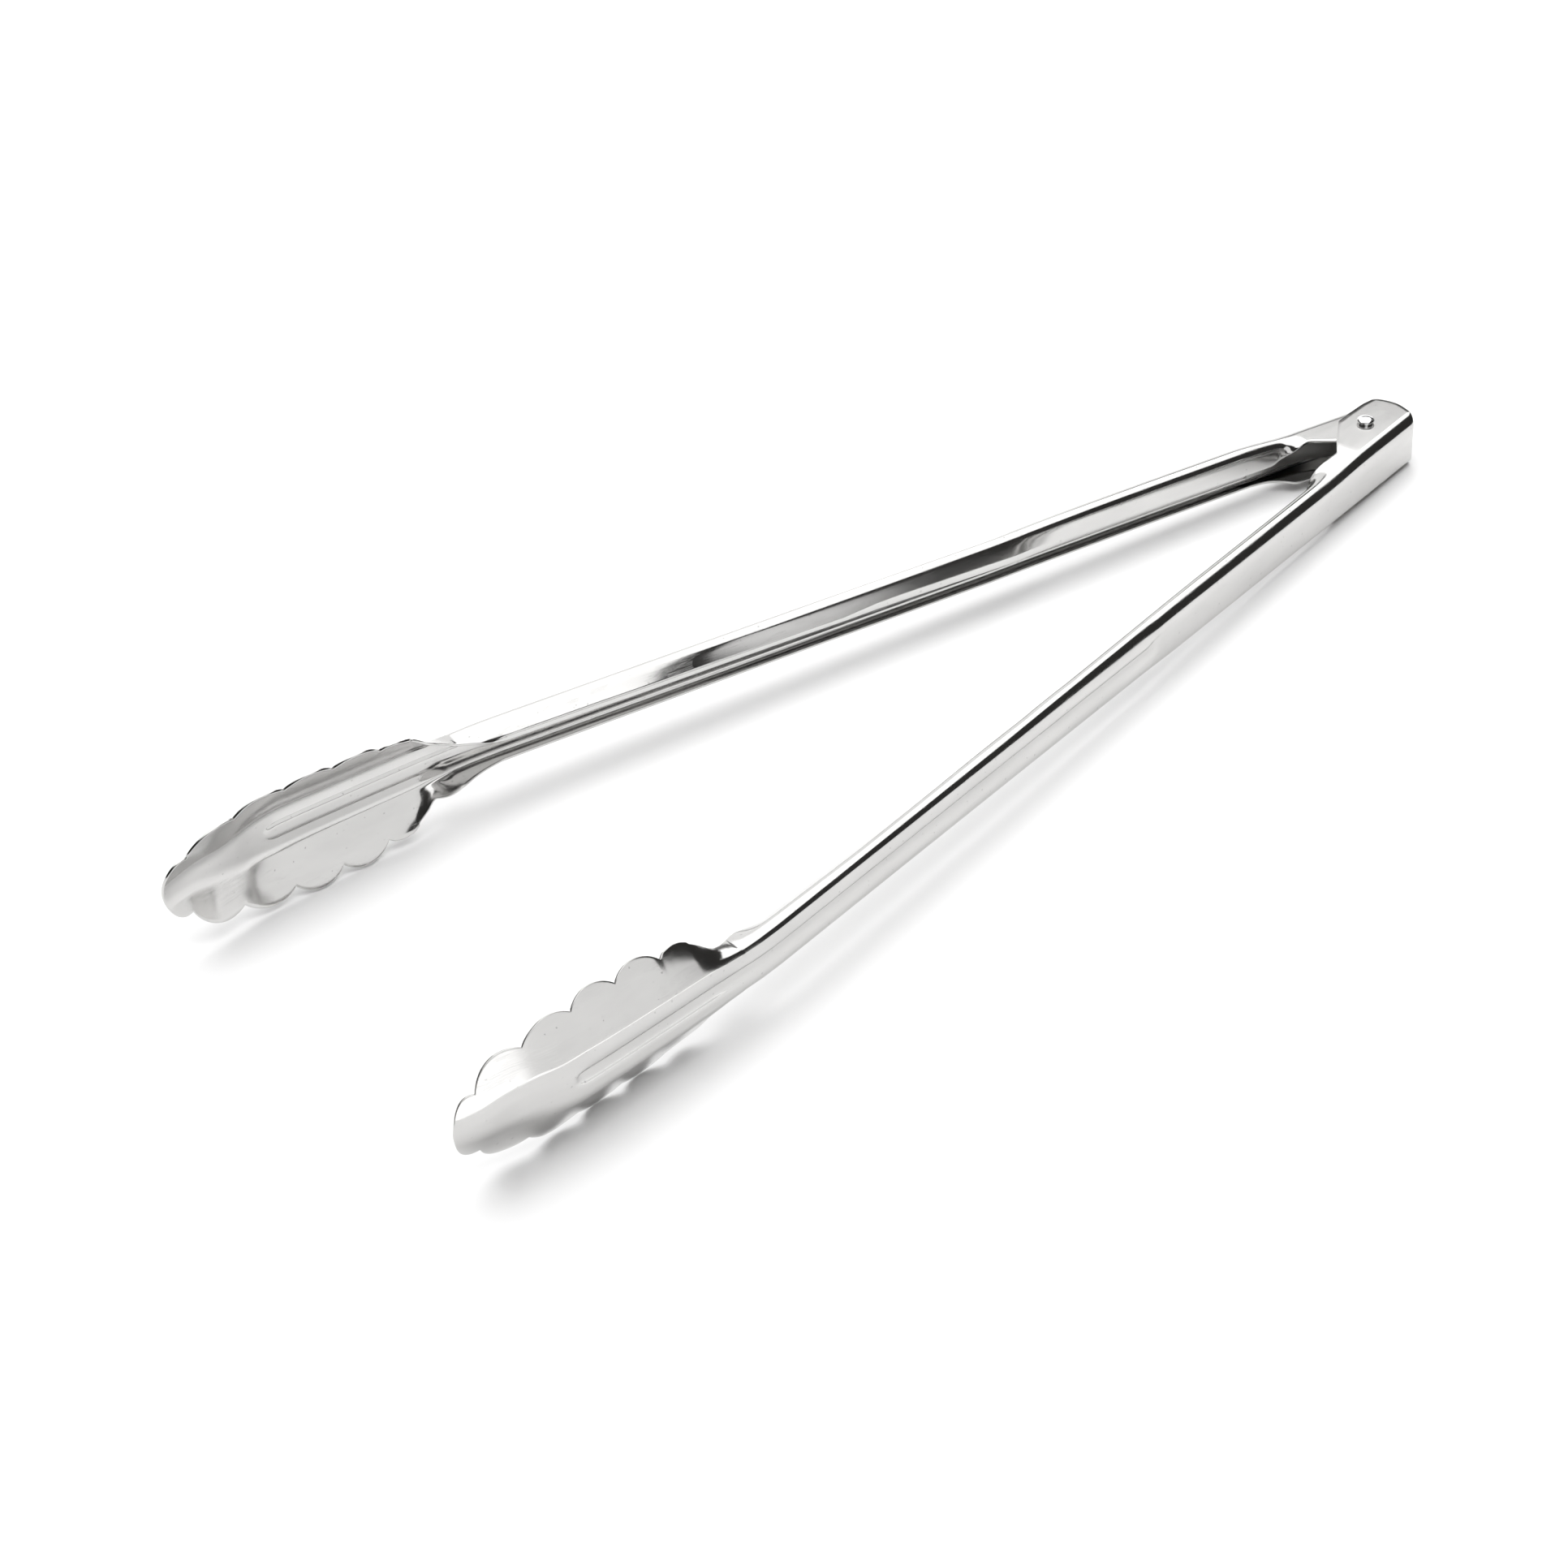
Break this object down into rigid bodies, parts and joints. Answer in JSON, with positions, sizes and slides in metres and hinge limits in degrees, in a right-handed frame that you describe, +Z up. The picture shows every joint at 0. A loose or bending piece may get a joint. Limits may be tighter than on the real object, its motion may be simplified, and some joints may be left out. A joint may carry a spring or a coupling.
{
  "type": "kitchen tongs",
  "caption": "Long spring loaded steel kitchen tongs with channel handles, scalloped scoop ends, a riveted hinge and a strip spring, lying open.",
  "frame": {"origin": "bottom centre of the bounding box, with the tongs lying open on their side", "axes": "+X from the hinge toward the tips along the line that halves the opening angle, +Y toward the arm with the outside ears, +Z up"},
  "size_m": [0.3998, 0.133, 0.0384],
  "materials": {
    "arm_steel": "polished stainless with fine scratches",
    "rivet_steel": "bright turned steel",
    "spring_steel": "dull rolled strip"
  },
  "bodies": {
    "outer_arm": {"outer_arm": "arm_steel", "pivot_rivet": "rivet_steel", "torsion_spring": "spring_steel"},
    "inner_arm": {"inner_arm": "arm_steel"}
  },
  "joints": [
    {"name": "arm_hinge", "type": "hinge", "parent": "outer_arm", "child": "inner_arm", "pos_m": [-0.18484, 0, 0.009], "axis": [-0.03, 0, 0.9995], "range_deg": [0, 18], "stiffness_Nm_per_rad": 1.4, "springref_deg": -9.74, "deforming": ["torsion_spring"]}
  ]
}
